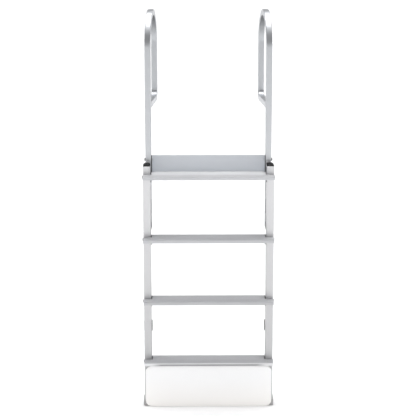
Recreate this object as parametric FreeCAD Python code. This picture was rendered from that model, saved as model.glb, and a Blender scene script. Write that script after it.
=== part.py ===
"""Aluminium dock ladder with two closed hand loops, four notched treads and a lower panel.

All sizes are in millimetres. X runs across the ladder, Y points from the water towards the
dock and Z is up. The origin is the centre of the riser plate's back face, which lies
against the dock. Each piece is written to a STEP file of its own.
"""

import FreeCAD
import Part
import math
import os

# Ladder as a whole
LADDER_WIDTH = 622.0  # across the outer faces of the rails
STEP_PITCH = 304.5
TREAD_NAMES = ("top", "second", "third", "bottom")

# Side rails, open box section
RAIL_WIDTH = 35.0
RAIL_DEPTH = 70.0
RAIL_WALL = 2.0
RAIL_EASING = 1.5
RAIL_ABOVE_TOP_TREAD = 40.0
RAIL_ABOVE_PANEL_FOOT = 6.0  # from the lower edge of the panel up to the end of each rail
RAIL_EAR_RADIUS = 12.0  # round ear on the back wall, welded to the post

# Plug caps in the upper ends of the rails
RAIL_CAP_HEAD = 6.0
RAIL_CAP_SLOPE = 5.5
RAIL_CAP_SPIGOT = 16.0
RAIL_CAP_CLEARANCE = 0.15

# Handrails, each one length of square tube bent into a closed hand loop
TUBE_SIDE = 28.0
TUBE_WALL = 2.0
TUBE_EASING = 1.5
POST_INSET = 25.0  # from a rail's outer face to the middle of its post
POST_BELOW_TOP_TREAD = 269.0
LOOP_TOP_ABOVE_TREAD = 761.0
LOOP_RADIUS = 155.0  # to the middle of the tube
FOOT_BEND_RADIUS = 39.0  # to the middle of the tube
DECK_ABOVE_TOP_TREAD = 305.0
TOE_IN = 4.3  # degrees that each loop turns inwards, towards the dock
TWIST_START = 100.0  # above the top tread
TWIST_LENGTH = 190.0

# Tapered plug in the lower end of each post
PLUG_TAPER = 25.0
PLUG_TIP_SIDE = 16.0
PLUG_SPIGOT = 20.0
PLUG_CLEARANCE = 0.15

# Treads, a ribbed channel section notched round the rails
TREAD_DEPTH = 125.0
NOSING_REACH = 55.0  # in front of the rails
TREAD_LIP = 16.0
TREAD_PLATE = 3.0
TREAD_LIP_WALL = 3.0
NOSING_RADIUS = 2.5
TREAD_WEB = 2.5
TREAD_WEB_HEIGHT = 12.0
TREAD_END_GAP = 0.4
TREAD_SLOT = 3.5  # between a tread and the inner face of each rail, where a spacer fits
RIB_HEIGHT = 1.2
RIB_PITCH = 7.6
RIB_FOOT = 3.6
RIB_CREST = 1.8
RIB_FREE_FRONT = 7.0
RIB_FREE_BACK = 5.0

# Angle bracket under each end of a tread, and the spacer that holds it off the rail
BRACKET_DEPTH = 40.0
BRACKET_LEG = 32.0
BRACKET_THICKNESS = 4.0
BRACKET_WEB_GAP = 0.3

# Riser plate behind the top tread, with end flanges and spacer pads against the posts
RISER_ABOVE_TREAD = 78.0
RISER_THICKNESS = 3.0
RISER_PAD = 3.0

# Bolt holes
BOLT_HOLE = 9.0
TREAD_BOLT_DROP = 18.0  # below the surface of the tread
RISER_BOLT_ABOVE_TREAD = 59.0
DECK_BOLT_REACH_FRONT = 75.0  # along the foot bar, from the middle of the post
DECK_BOLT_REACH_BACK = 235.0

# Caps on the lower ends of the rails
FOOT_CAP_HEIGHT = 28.0
FOOT_CAP_WALL = 3.5
FOOT_CAP_SIDE_WALL = 5.4  # thicker where the cap faces a piling or a boat
FOOT_CAP_FLOOR = 3.0
FOOT_CAP_CLEARANCE = 0.1

# Bumpers between the rails and the dock
BUMPER_WIDTH = 41.0
BUMPER_HEIGHT = 56.0
BUMPER_BELOW_TOP_TREAD = 762.0
BUMPER_BASE = 12.0
BUMPER_TAPER = 5.0
BUMPER_EASING = 3.0

# Lower panel and the angle clips that hold it off the rails
PANEL_SIDE_INSET = 5.0  # from a rail's outer face to the panel's edge
PANEL_HEIGHT = 205.0
PANEL_THICKNESS = 9.0
PANEL_CORNER = 30.0
PANEL_EDGE = 1.0
PANEL_BELOW_BOTTOM_TREAD = 30.0
PANEL_GAP = 0.4  # between the foot caps and the back of the panel
CLIP_THICKNESS = 3.0
CLIP_LEG = 26.0
CLIP_HEIGHT = 30.0
CLIP_BELOW_PANEL_TOP = 33.0
CLIP_ABOVE_FOOT_CAP = 10.0

# Planes and lines that the pieces share
HALF_WIDTH = LADDER_WIDTH / 2
TUBE_HALF = TUBE_SIDE / 2
POST_FRONT = -TUBE_SIDE
RAIL_BACK = POST_FRONT
RAIL_FRONT = RAIL_BACK - RAIL_DEPTH
RAIL_MIDDLE = (RAIL_FRONT + RAIL_BACK) / 2
RAIL_INNER = HALF_WIDTH - RAIL_WIDTH
POST_X = HALF_WIDTH - POST_INSET
POST_INNER = POST_X - TUBE_HALF
POST_Y = -TUBE_HALF
TREAD_FRONT = RAIL_FRONT - NOSING_REACH
RISER_HEIGHT = RISER_ABOVE_TREAD + TREAD_LIP
TOP_TREAD = RISER_HEIGHT / 2 - RISER_ABOVE_TREAD
BOTTOM_TREAD = TOP_TREAD - STEP_PITCH * (len(TREAD_NAMES) - 1)
PANEL_TOP = BOTTOM_TREAD - PANEL_BELOW_BOTTOM_TREAD
PANEL_BOTTOM = PANEL_TOP - PANEL_HEIGHT
RAIL_TOP = TOP_TREAD + RAIL_ABOVE_TOP_TREAD
RAIL_BOTTOM = PANEL_BOTTOM + RAIL_ABOVE_PANEL_FOOT
BRACKET_BACK = RAIL_INNER - TREAD_SLOT
RISER_HALF_WIDTH = POST_INNER - RISER_PAD
POST_BOTTOM = TOP_TREAD - POST_BELOW_TOP_TREAD
FOOT_BAR_Z = TOP_TREAD + DECK_ABOVE_TOP_TREAD + TUBE_HALF
LOOP_CENTRE_Z = TOP_TREAD + LOOP_TOP_ABOVE_TREAD - TUBE_HALF - LOOP_RADIUS
PANEL_BACK = RAIL_FRONT - FOOT_CAP_CLEARANCE - FOOT_CAP_WALL - PANEL_GAP
FOOT_CAP_TOP = RAIL_BOTTOM - FOOT_CAP_FLOOR + FOOT_CAP_HEIGHT

CUT_OVERRUN = 1.0  # how far a cutter passes the face that it opens
TOLERANCE = 1e-6

X_AXIS = FreeCAD.Vector(1, 0, 0)
Y_AXIS = FreeCAD.Vector(0, 1, 0)
Z_AXIS = FreeCAD.Vector(0, 0, 1)
ORIGIN = FreeCAD.Vector(0, 0, 0)


def box(x_range, y_range, z_range):
    """A block between pairs of limits."""
    size = [abs(limits[1] - limits[0]) for limits in (x_range, y_range, z_range)]
    corner = FreeCAD.Vector(min(x_range), min(y_range), min(z_range))
    return Part.makeBox(size[0], size[1], size[2], corner)


def eased_rectangle(width, depth, easing, z=0.0):
    """A level outline about the Z axis, its corners cut back by a small flat."""
    points = []
    for sx, sy in ((1, 1), (-1, 1), (-1, -1), (1, -1)):
        beside = FreeCAD.Vector(sx * width / 2, sy * (depth / 2 - easing), z)
        above = FreeCAD.Vector(sx * (width / 2 - easing), sy * depth / 2, z)
        points += [beside, above] if sx * sy > 0 else [above, beside]
    return Part.makePolygon(points + points[:1])


def tube_face(width, depth, wall, easing, z=0.0):
    """The cut face of a rectangular tube that runs along Z."""
    corner = FreeCAD.Vector(wall - width / 2, wall - depth / 2, z)
    bore = Part.makePlane(width - 2 * wall, depth - 2 * wall, corner)
    return Part.Face(eased_rectangle(width, depth, easing, z)).cut(bore).Faces[0]


def tapered_block(lower, upper):
    """A solid between two level outlines whose matching sides are parallel."""
    low = [v.Point for v in lower.Vertexes]
    high = [v.Point for v in upper.Vertexes]
    faces = [Part.Face(lower), Part.Face(upper)]
    for i in range(len(low)):
        j = (i + 1) % len(low)
        faces.append(Part.Face(Part.makePolygon([low[i], low[j], high[j], high[i], low[i]])))
    return Part.makeSolid(Part.makeShell(faces))


def mirrored(shape):
    """The same piece for the other side of the ladder."""
    return shape.mirror(ORIGIN, X_AXIS)


def bolt_hole(centre, direction, length):
    """A round cutter centred on a point, for one bolt."""
    return Part.makeCylinder(BOLT_HOLE / 2, length, centre - direction * (length / 2), direction)


def tread_levels():
    """Names and surface heights of the treads, from the top one down."""
    return [(name, TOP_TREAD - STEP_PITCH * i) for i, name in enumerate(TREAD_NAMES)]


def twisted_tube():
    """The stretch of tube that turns from the post's direction into the loop's."""
    start = TOP_TREAD + TWIST_START

    def loft(outline):
        lower = outline.translated(Z_AXIS * start)
        upper = outline.translated(Z_AXIS * (start + TWIST_LENGTH))
        return Part.makeLoft([lower, upper.rotated(ORIGIN, Z_AXIS, -TOE_IN)], True, True)

    outer, bore = tube_face(TUBE_SIDE, TUBE_SIDE, TUBE_WALL, TUBE_EASING).Wires
    return loft(outer).cut(loft(bore))


def hand_loop():
    """Front leg, half-round top, back leg, small bend and foot bar, in the plane X = 0."""
    twist_end = TOP_TREAD + TWIST_START + TWIST_LENGTH
    back_leg_y = 2 * LOOP_RADIUS
    bend_z = FOOT_BAR_Z + FOOT_BEND_RADIUS
    bend_y = back_leg_y - FOOT_BEND_RADIUS
    section = tube_face(TUBE_SIDE, TUBE_SIDE, TUBE_WALL, TUBE_EASING)

    front_leg = section.translated(Z_AXIS * twist_end).extrude(Z_AXIS * (LOOP_CENTRE_Z - twist_end))
    arch_axis = FreeCAD.Vector(0, LOOP_RADIUS, LOOP_CENTRE_Z)
    arch = section.translated(Z_AXIS * LOOP_CENTRE_Z).revolve(arch_axis, X_AXIS, -180)
    back_start = section.translated(FreeCAD.Vector(0, back_leg_y, bend_z))
    back_leg = back_start.extrude(Z_AXIS * (LOOP_CENTRE_Z - bend_z))
    bend = back_start.revolve(FreeCAD.Vector(0, bend_y, bend_z), X_AXIS, -90)
    bar_start = section.rotated(ORIGIN, X_AXIS, 90).translated(FreeCAD.Vector(0, bend_y, FOOT_BAR_Z))
    foot_bar = bar_start.extrude(Y_AXIS * (TUBE_HALF - bend_y))
    loop = front_leg.multiFuse([arch, back_leg, bend, foot_bar])

    for reach in (DECK_BOLT_REACH_FRONT, DECK_BOLT_REACH_BACK):
        centre = FreeCAD.Vector(0, reach, FOOT_BAR_Z)
        loop = loop.cut(bolt_hole(centre, Z_AXIS, 2 * TUBE_SIDE))
    return loop


def left_handrail():
    """Post, twisted stretch and hand loop, as the one bent and welded tube that they are."""
    post_length = TOP_TREAD + TWIST_START - POST_BOTTOM
    post = tube_face(TUBE_SIDE, TUBE_SIDE, TUBE_WALL, TUBE_EASING, POST_BOTTOM).extrude(Z_AXIS * post_length)
    loop = hand_loop().rotated(ORIGIN, Z_AXIS, -TOE_IN)
    tube = post.multiFuse([twisted_tube(), loop]).removeSplitter()
    tube.translate(FreeCAD.Vector(-POST_X, POST_Y, 0))
    riser_bolt = FreeCAD.Vector(-POST_X, POST_Y, TOP_TREAD + RISER_BOLT_ABOVE_TREAD)
    return tube.cut(bolt_hole(riser_bolt, X_AXIS, 2 * TUBE_SIDE))


def left_post_plug():
    """A spigot in the post's lower end, and the taper that closes it."""
    spigot_side = TUBE_SIDE - 2 * TUBE_WALL - 2 * PLUG_CLEARANCE
    spigot_face = Part.Face(eased_rectangle(spigot_side, spigot_side, TUBE_EASING, POST_BOTTOM))
    spigot = spigot_face.extrude(Z_AXIS * PLUG_SPIGOT)
    wide = eased_rectangle(TUBE_SIDE, TUBE_SIDE, TUBE_EASING, POST_BOTTOM)
    tip = eased_rectangle(PLUG_TIP_SIDE, PLUG_TIP_SIDE, TUBE_EASING, POST_BOTTOM - PLUG_TAPER)
    plug = spigot.fuse(tapered_block(tip, wide))
    plug.translate(FreeCAD.Vector(-POST_X, POST_Y, 0))
    return plug


def left_rail():
    """Box rail, drilled for the tread bolts, with a round ear on its back wall beside the post."""
    face = tube_face(RAIL_WIDTH, RAIL_DEPTH, RAIL_WALL, RAIL_EASING, RAIL_BOTTOM)
    rail = face.extrude(Z_AXIS * (RAIL_TOP - RAIL_BOTTOM))
    rail_x = -(HALF_WIDTH - RAIL_WIDTH / 2)
    rail.translate(FreeCAD.Vector(rail_x, RAIL_MIDDLE, 0))
    ear_x = -(RAIL_INNER + RAIL_EASING + RAIL_EAR_RADIUS)
    ear_centre = FreeCAD.Vector(ear_x, RAIL_BACK - RAIL_WALL, RAIL_TOP)
    rail = rail.fuse(Part.makeCylinder(RAIL_EAR_RADIUS, RAIL_WALL, ear_centre, Y_AXIS)).removeSplitter()
    cutters = []
    for _, level in tread_levels():
        cutters.append(bolt_hole(FreeCAD.Vector(rail_x, RAIL_MIDDLE, level - TREAD_BOLT_DROP), X_AXIS, 2 * RAIL_WIDTH))
    return rail.cut(cutters)


def left_rail_cap():
    """A plug in the upper end of a rail: a spigot in the bore and a sloped head over the walls."""
    inset = RAIL_WALL + RAIL_CAP_CLEARANCE
    spigot_size = (RAIL_WIDTH - 2 * inset, RAIL_DEPTH - 2 * inset)
    spigot_face = Part.Face(eased_rectangle(*spigot_size, RAIL_EASING, RAIL_TOP - RAIL_CAP_SPIGOT))
    spigot = spigot_face.extrude(Z_AXIS * RAIL_CAP_SPIGOT)
    head_depth = RAIL_DEPTH - inset
    foot = eased_rectangle(RAIL_WIDTH, head_depth, RAIL_EASING, RAIL_TOP)
    crown = eased_rectangle(
        RAIL_WIDTH - 2 * RAIL_CAP_SLOPE, head_depth - 2 * RAIL_CAP_SLOPE, RAIL_EASING, RAIL_TOP + RAIL_CAP_HEAD
    )
    head = tapered_block(foot, crown)
    head.translate(Y_AXIS * (-inset / 2))
    cap = spigot.fuse(head)
    cap.translate(FreeCAD.Vector(-(HALF_WIDTH - RAIL_WIDTH / 2), RAIL_MIDDLE, 0))
    return cap


def left_foot_cap():
    """A cup over the lower end of a rail."""
    pocket_width = RAIL_WIDTH + 2 * FOOT_CAP_CLEARANCE
    pocket_depth = RAIL_DEPTH + 2 * FOOT_CAP_CLEARANCE
    bottom = RAIL_BOTTOM - FOOT_CAP_FLOOR
    outside = eased_rectangle(
        pocket_width + 2 * FOOT_CAP_SIDE_WALL, pocket_depth + 2 * FOOT_CAP_WALL, FOOT_CAP_WALL, bottom
    )
    pocket = eased_rectangle(pocket_width, pocket_depth, RAIL_EASING, RAIL_BOTTOM)
    cup = Part.Face(outside).extrude(Z_AXIS * FOOT_CAP_HEIGHT).cut(Part.Face(pocket).extrude(Z_AXIS * FOOT_CAP_HEIGHT))
    cup.translate(FreeCAD.Vector(-(HALF_WIDTH - RAIL_WIDTH / 2), RAIL_MIDDLE, 0))
    return cup


def rib_outline(front, back, level):
    """Points along the top of a tread, over its grip ribs, from front to back."""
    plate_top = level - RIB_HEIGHT
    first = front + RIB_FREE_FRONT
    count = int((back - RIB_FREE_BACK - first - RIB_FOOT) / RIB_PITCH) + 1
    slope = (RIB_FOOT - RIB_CREST) / 2
    points = []
    for i in range(count):
        y = first + i * RIB_PITCH
        points.append((y, plate_top))
        points.append((y + slope, level))
        points.append((y + slope + RIB_CREST, level))
        points.append((y + RIB_FOOT, plate_top))
    return points


def tread(level, back):
    """A ribbed channel across the ladder, notched so that its nosing passes in front of the rails."""
    front = TREAD_FRONT
    plate_top = level - RIB_HEIGHT
    plate_bottom = plate_top - TREAD_PLATE
    web_bottom = plate_bottom - TREAD_WEB_HEIGHT
    lip_bottom = level - TREAD_LIP
    web_offset = BRACKET_DEPTH / 2 + BRACKET_WEB_GAP
    outline = [(front, lip_bottom), (front, level)]
    outline += [(front + TREAD_LIP_WALL, level), (front + TREAD_LIP_WALL, plate_top)]
    outline += rib_outline(front, back, level)
    outline += [(back, plate_top), (back, lip_bottom)]
    outline += [(back - TREAD_LIP_WALL, lip_bottom), (back - TREAD_LIP_WALL, plate_bottom)]
    for near, far in ((web_offset, web_offset + TREAD_WEB), (-web_offset - TREAD_WEB, -web_offset)):
        outline += [(RAIL_MIDDLE + far, plate_bottom), (RAIL_MIDDLE + far, web_bottom)]
        outline += [(RAIL_MIDDLE + near, web_bottom), (RAIL_MIDDLE + near, plate_bottom)]
    outline += [(front + TREAD_LIP_WALL, plate_bottom), (front + TREAD_LIP_WALL, lip_bottom)]
    points = [FreeCAD.Vector(-HALF_WIDTH, y, z) for y, z in outline]
    channel = Part.Face(Part.makePolygon(points + points[:1])).extrude(X_AXIS * LADDER_WIDTH)
    nose_edges = [
        e
        for e in channel.Edges
        if abs(e.BoundBox.YMin - front) < TOLERANCE
        and abs(e.BoundBox.YMax - front) < TOLERANCE
        and abs(e.BoundBox.ZMin - level) < TOLERANCE
    ]
    channel = channel.makeFillet(NOSING_RADIUS, nose_edges)

    tall = (level - 2 * TREAD_LIP, level + TREAD_LIP)
    slot_range = (RAIL_FRONT - TREAD_END_GAP, RAIL_BACK - TREAD_LIP_WALL)
    rail_limit = RAIL_INNER - TREAD_END_GAP
    riser_limit = RISER_HALF_WIDTH - RISER_THICKNESS - TREAD_END_GAP
    notches = []
    for side in (-1, 1):
        outside = side * (HALF_WIDTH + CUT_OVERRUN)
        notches.append(box((side * BRACKET_BACK, outside), slot_range, tall))
        notches.append(box((side * rail_limit, outside), (slot_range[0], CUT_OVERRUN), tall))
        if back > RAIL_BACK:
            notches.append(box((side * riser_limit, outside), (RAIL_BACK - TREAD_END_GAP, CUT_OVERRUN), tall))
    return channel.cut(notches)


def left_tread_bracket(level):
    """An angle under the tread's left end, bolted through the rail."""
    seat = level - RIB_HEIGHT - TREAD_PLATE
    y_range = (RAIL_MIDDLE - BRACKET_DEPTH / 2, RAIL_MIDDLE + BRACKET_DEPTH / 2)
    upright = box((-BRACKET_BACK, -BRACKET_BACK + BRACKET_THICKNESS), y_range, (seat - BRACKET_LEG, seat))
    shelf = box((-BRACKET_BACK, -BRACKET_BACK + BRACKET_LEG), y_range, (seat - BRACKET_THICKNESS, seat))
    hole = bolt_hole(FreeCAD.Vector(-BRACKET_BACK, RAIL_MIDDLE, level - TREAD_BOLT_DROP), X_AXIS, 4 * BRACKET_THICKNESS)
    return upright.fuse(shelf).removeSplitter().cut(hole)


def left_tread_spacer(level):
    """A shim between the rail and the tread's bracket, slotted from below to pass over the bolt."""
    seat = level - RIB_HEIGHT - TREAD_PLATE
    shim_bottom = seat - BRACKET_LEG
    x_range = (-RAIL_INNER, -BRACKET_BACK)
    shim = box(x_range, (RAIL_FRONT, RAIL_BACK - TREAD_LIP_WALL - TREAD_END_GAP), (shim_bottom, seat))
    slot_width = (RAIL_MIDDLE - BOLT_HOLE / 2, RAIL_MIDDLE + BOLT_HOLE / 2)
    slot_top = level - TREAD_BOLT_DROP + BOLT_HOLE / 2
    return shim.cut(box(x_range, slot_width, (shim_bottom - CUT_OVERRUN, slot_top)))


def riser_plate():
    """A plate between the posts, with a flange turned forwards at each end."""
    z_range = (-RISER_HEIGHT / 2, RISER_HEIGHT / 2)
    plate = box((-RISER_HALF_WIDTH, RISER_HALF_WIDTH), (-RISER_THICKNESS, 0), z_range)
    flanges = []
    for side in (-1, 1):
        x_range = (side * (RISER_HALF_WIDTH - RISER_THICKNESS), side * RISER_HALF_WIDTH)
        flanges.append(box(x_range, (POST_FRONT, 0), z_range))
    centre = FreeCAD.Vector(0, POST_Y, TOP_TREAD + RISER_BOLT_ABOVE_TREAD)
    return plate.multiFuse(flanges).removeSplitter().cut(bolt_hole(centre, X_AXIS, LADDER_WIDTH))


def left_riser_pad():
    """The spacer between the riser's flange and the post."""
    pad = box((-POST_INNER, -RISER_HALF_WIDTH), (POST_FRONT, 0), (-RISER_HEIGHT / 2, RISER_HEIGHT / 2))
    centre = FreeCAD.Vector(-POST_INNER, POST_Y, TOP_TREAD + RISER_BOLT_ABOVE_TREAD)
    return pad.cut(bolt_hole(centre, X_AXIS, 4 * RISER_PAD))


def left_bumper():
    """A block behind the rail, tapered towards the dock."""
    centre_z = TOP_TREAD - BUMPER_BELOW_TOP_TREAD
    base_outline = eased_rectangle(BUMPER_WIDTH, BUMPER_HEIGHT, BUMPER_EASING)
    base = Part.Face(base_outline).extrude(Z_AXIS * BUMPER_BASE)
    wide = eased_rectangle(BUMPER_WIDTH, BUMPER_HEIGHT, BUMPER_EASING, BUMPER_BASE)
    face = eased_rectangle(
        BUMPER_WIDTH - 2 * BUMPER_TAPER, BUMPER_HEIGHT - 2 * BUMPER_TAPER, BUMPER_EASING, -RAIL_BACK
    )
    block = base.fuse(tapered_block(wide, face)).removeSplitter()
    block.rotate(ORIGIN, X_AXIS, -90)
    block.translate(FreeCAD.Vector(-(HALF_WIDTH - RAIL_WIDTH / 2), RAIL_BACK, centre_z))
    return block


def lower_panel():
    """The rounded sheet below the bottom tread."""
    half = HALF_WIDTH - PANEL_SIDE_INSET
    front = PANEL_BACK - PANEL_THICKNESS
    sheet = box((-half, half), (front, PANEL_BACK), (PANEL_BOTTOM, PANEL_TOP))
    corner_edges = [e for e in sheet.Edges if e.BoundBox.YLength > PANEL_THICKNESS / 2]
    sheet = sheet.makeFillet(PANEL_CORNER, corner_edges)
    front_edges = [e for e in sheet.Edges if e.BoundBox.YMax < front + PANEL_THICKNESS / 2]
    return sheet.makeChamfer(PANEL_EDGE, front_edges)


def left_panel_clips():
    """Two angles from the rail's inner face to the back of the panel."""
    clips = []
    for bottom in (PANEL_TOP - CLIP_BELOW_PANEL_TOP - CLIP_HEIGHT, FOOT_CAP_TOP + CLIP_ABOVE_FOOT_CAP):
        z_range = (bottom, bottom + CLIP_HEIGHT)
        on_rail = box((-RAIL_INNER, -RAIL_INNER + CLIP_THICKNESS), (PANEL_BACK, PANEL_BACK + CLIP_LEG), z_range)
        on_panel = box((-RAIL_INNER, -RAIL_INNER + CLIP_LEG), (PANEL_BACK, RAIL_FRONT), z_range)
        clips.append(on_rail.fuse(on_panel).removeSplitter())
    return Part.makeCompound(clips)


def write(name, shape):
    """One piece to its own STEP file."""
    shape.exportStep("parts/" + name + ".step")


def write_pair(name, left_shape):
    """A left-hand piece and its mirror image."""
    write("left_" + name, left_shape)
    write("right_" + name, mirrored(left_shape))


def main():
    os.makedirs("parts", exist_ok=True)
    write_pair("handrail", left_handrail())
    write_pair("post_plug", left_post_plug())
    write_pair("rail", left_rail())
    write_pair("rail_cap", left_rail_cap())
    write_pair("foot_cap", left_foot_cap())
    write_pair("riser_pad", left_riser_pad())
    write_pair("bumper", left_bumper())
    write_pair("panel_clips", left_panel_clips())
    write("riser_plate", riser_plate())
    write("lower_panel", lower_panel())
    for name, level in tread_levels():
        back = -RISER_THICKNESS if name == TREAD_NAMES[0] else TREAD_FRONT + TREAD_DEPTH
        write(name + "_tread", tread(level, back))
        write_pair(name + "_tread_bracket", left_tread_bracket(level))
        write_pair(name + "_tread_spacer", left_tread_spacer(level))


main()
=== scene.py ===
"""Looks for the aluminium dock ladder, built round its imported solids.

Everything is in metres in the part's own frame: X across the ladder, Y from the water to the
dock, Z up. The tubes, the eased extrusions, the welds and the fasteners are made here, and
every surface gets a finish of its own.
"""

import math

import bmesh
import bpy
from mathutils import Matrix, Vector


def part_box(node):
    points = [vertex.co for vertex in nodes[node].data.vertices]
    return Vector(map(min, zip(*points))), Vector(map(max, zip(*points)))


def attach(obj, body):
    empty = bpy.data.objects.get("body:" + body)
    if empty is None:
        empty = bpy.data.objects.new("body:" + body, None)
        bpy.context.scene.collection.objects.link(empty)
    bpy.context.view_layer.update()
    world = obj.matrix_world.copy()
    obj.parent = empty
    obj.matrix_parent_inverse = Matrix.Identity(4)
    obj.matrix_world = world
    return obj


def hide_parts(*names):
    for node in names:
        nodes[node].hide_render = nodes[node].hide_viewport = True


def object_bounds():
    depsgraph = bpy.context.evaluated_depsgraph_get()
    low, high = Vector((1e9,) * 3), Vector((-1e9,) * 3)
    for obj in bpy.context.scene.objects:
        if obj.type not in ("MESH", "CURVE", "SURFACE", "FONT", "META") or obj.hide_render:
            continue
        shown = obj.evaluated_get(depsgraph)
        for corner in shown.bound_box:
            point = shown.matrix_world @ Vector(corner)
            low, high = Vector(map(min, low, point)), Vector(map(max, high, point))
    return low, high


MM = 0.001

# Sizes that the pieces made here share with the solids
POST_X = 286 * MM
POST_Y = -14 * MM
TUBE_SIDE = 28 * MM
TUBE_CORNER = 3.2 * MM
RAIL_OUTER = 311 * MM
RAIL_INNER = 276 * MM
RAIL_FRONT = -98 * MM
RAIL_BACK = -28 * MM
RAIL_MIDDLE = -63 * MM
RAIL_TOP = 9 * MM
BRACKET_BACK = 272.5 * MM
BRACKET_LEG = 32 * MM
BRACKET_HALF_DEPTH = 20 * MM
BRACKET_THICKNESS = 4 * MM
EAR_RADIUS = 12 * MM
EAR_X = 289.5 * MM
TOP_TREAD = -31 * MM
STEP_PITCH = 304.5 * MM
TREAD_SEAT = 4.2 * MM
TREAD_BOLT_DROP = 18 * MM
TREAD_NAMES = ("top", "second", "third", "bottom")
RISER_BOLT_Z = TOP_TREAD + 59 * MM
RISER_FLANGE = 266 * MM
POST_BOTTOM = TOP_TREAD - 269 * MM
FOOT_BAR_Z = TOP_TREAD + 319 * MM
LOOP_CENTRE_Z = TOP_TREAD + 592 * MM
LOOP_RADIUS = 155 * MM
FOOT_BEND_RADIUS = 39 * MM
TWIST_START = TOP_TREAD + 100 * MM
TWIST_END = TOP_TREAD + 290 * MM
TOE_IN = math.radians(4.3)
DECK_BOLT_REACHES = (75 * MM, 235 * MM)
DECK_HOLE_RADIUS = 4.5 * MM
CLIP_THICKNESS = 3 * MM
CLIP_HEIGHT = 30 * MM

# How finely the handrail's path, its corners and the weld over an ear are divided
TWIST_STEPS = 10
LOOP_STEPS = 48
BEND_STEPS = 16
CORNER_STEPS = 4
EAR_STEPS = 18

# What decides which points and faces are joined, which edges are eased and which stay crisp
JOIN_DISTANCE = 0.002 * MM
FLAT_ANGLE = math.radians(0.6)
EDGE_ANGLE = math.radians(32)
CRISP_ANGLE = math.radians(28)
FACE_WEIGHT = 100

# Weld beads, and how far their middles lie off the faces they join
BEAD_RADIUS = 2.0 * MM
BEAD_RIPPLE = 2.4 * MM
BEAD_STEP = 0.6 * MM
BEAD_SWELL = 0.13
BEAD_SIDES = 10
BEAD_OFF_SIDE = 0.4 * MM
BEAD_OFF_FACE = 0.2 * MM
FOOT_WELD_Y = POST_Y + TUBE_SIDE / 2 + 0.6 * MM
POST_WELD_TOPS = (-12 * MM, -120 * MM, -232 * MM)
POST_WELD_LENGTH = 42 * MM
EAR_WELD_Y = RAIL_BACK - 0.3 * MM
EAR_WELD_START = math.radians(8)
BRACKET_WELD_HALF = BRACKET_HALF_DEPTH - 1.5 * MM

# Bolts, with their washers, nuts and inserts
HEX_FLATS = 13 * MM
HEX_CROWN = 0.475 * HEX_FLATS
HEX_CHAMFER = math.radians(30)
HEX_POINTS = 48
HEAD_HEIGHT = 5.2 * MM
NUT_HEIGHT = 6.5 * MM
SHANK_RADIUS = 4 * MM
SHANK_END = 3 * MM
THREAD_ROOT_RADIUS = 3.5 * MM
THREAD_PITCH = 1 * MM
THREAD_START = 1.2 * MM
THREAD_LEAD = 0.8 * MM
WASHER_RADIUS = 8 * MM
WASHER_THICKNESS = 1.6 * MM
INSERT_RADIUS = 5.6 * MM
INSERT_RIM = 0.9 * MM
RIM_EASE = 0.4 * MM
RIM_EASE_HEIGHT = 0.3 * MM
TURNED_POINTS = 32
BOLT_TURN = math.pi / 3
TURN_SEED = 4

# Rivets of the panel clips
RIVET_STEM_RADIUS = 1.2 * MM
RIVET_STEM_LENGTH = 2 * MM
RIVET_FLANGE_RADIUS = 3.3 * MM
RIVET_FLANGE_TOP_RADIUS = 3.2 * MM
RIVET_FLANGE_HEIGHT = 0.5 * MM
RIVET_DOME_RADIUS = 3.1 * MM
RIVET_DOME_HEIGHT = 0.9 * MM
RIVET_DOME_STEPS = 5
RIVET_RIM_RADIUS = 0.7 * MM
RIVET_HOLLOW_RADIUS = 0.6 * MM
RIVET_HOLLOW_HEIGHT = 1.1 * MM
RIVETS_UP_CLIP = (0.27, 0.73)
RIVET_FROM_CLIP_BACK = 9 * MM
RIVET_FROM_RAIL = 17 * MM
FINE_TURNED_POINTS = 24

# Colours of the treads
TOP_GROOVES = (0.535, 0.54, 0.55)
# Painted shade: the lower treads' grooves are darker than the top tread's
LOWER_GROOVES_SHADED = (0.435, 0.44, 0.455)
RUBBED_CRESTS = (0.65, 0.65, 0.66)
TREAD_FRONT = (0.32, 0.325, 0.335)
TOP_NOSING = (0.60, 0.605, 0.625)
# Painted shade: the lower treads' nosings darken step by step down
LOWER_NOSING_SHADED = (0.46, 0.46, 0.47)
# Painted highlight on the bottom tread's nosing
BOTTOM_NOSING_HIGHLIGHT = (0.76, 0.76, 0.77)
# Painted shadow under the bottom tread's lip, between the rails
NOSING_SHADOW_LINE = (0.37, 0.37, 0.375)

# How far a colour with painted shade or painted light by height has changed, at shares of the way
# down, and where the rails' painted shade reaches its end
HEIGHT_SHADING_CURVE = [(0.0, 0.0), (0.44, 0.52), (0.81, 0.92), (1.0, 1.0)]
RAIL_SHADED_Z = -1000 * MM

# This share of a pitch keeps a tread's top face from counting as the foot of the step over it
TREAD_MARGIN = 0.001

# Brightness of the surroundings, from the horizon at 0 to straight up at 1. The front's levels give
# way to the back's where a direction's Y passes from the front edge to the back edge.
OVERHEAD_LEVELS = [(0.66, 0.42), (0.82, 0.85), (0.94, 1.3), (1.0, 1.4)]
FRONT_LEVELS = [(0.0, 0.62), (0.13, 0.40), (0.24, 0.28), (0.5, 0.28)] + OVERHEAD_LEVELS
BACK_LEVELS = [(0.0, 0.90), (0.15, 0.85), (0.26, 0.45), (0.5, 0.35)] + OVERHEAD_LEVELS
SKY_TINT = (1.0, 1.0, 1.01)
FRONT_EDGE = -0.2
BACK_EDGE = 0.5
BACKDROP = (1.1, 1.1, 1.1)

# Lights, with their powers in watts, or in watts per square metre for the one overhead
OVERHEAD_PLACE = (-0.1, 0.6, 5.0)
OVERHEAD_AIM = (0.0, 0.0, 0.0)
OVERHEAD_POWER = 1.85
OVERHEAD_SPREAD = math.radians(50)
FILL_PLACE = (0.0, -6.0, 1.6)
FILL_AIM = (0.0, 0.0, -0.6)
FILL_POWER = 116
FILL_SIZE = (4.0, 3.0)

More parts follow.
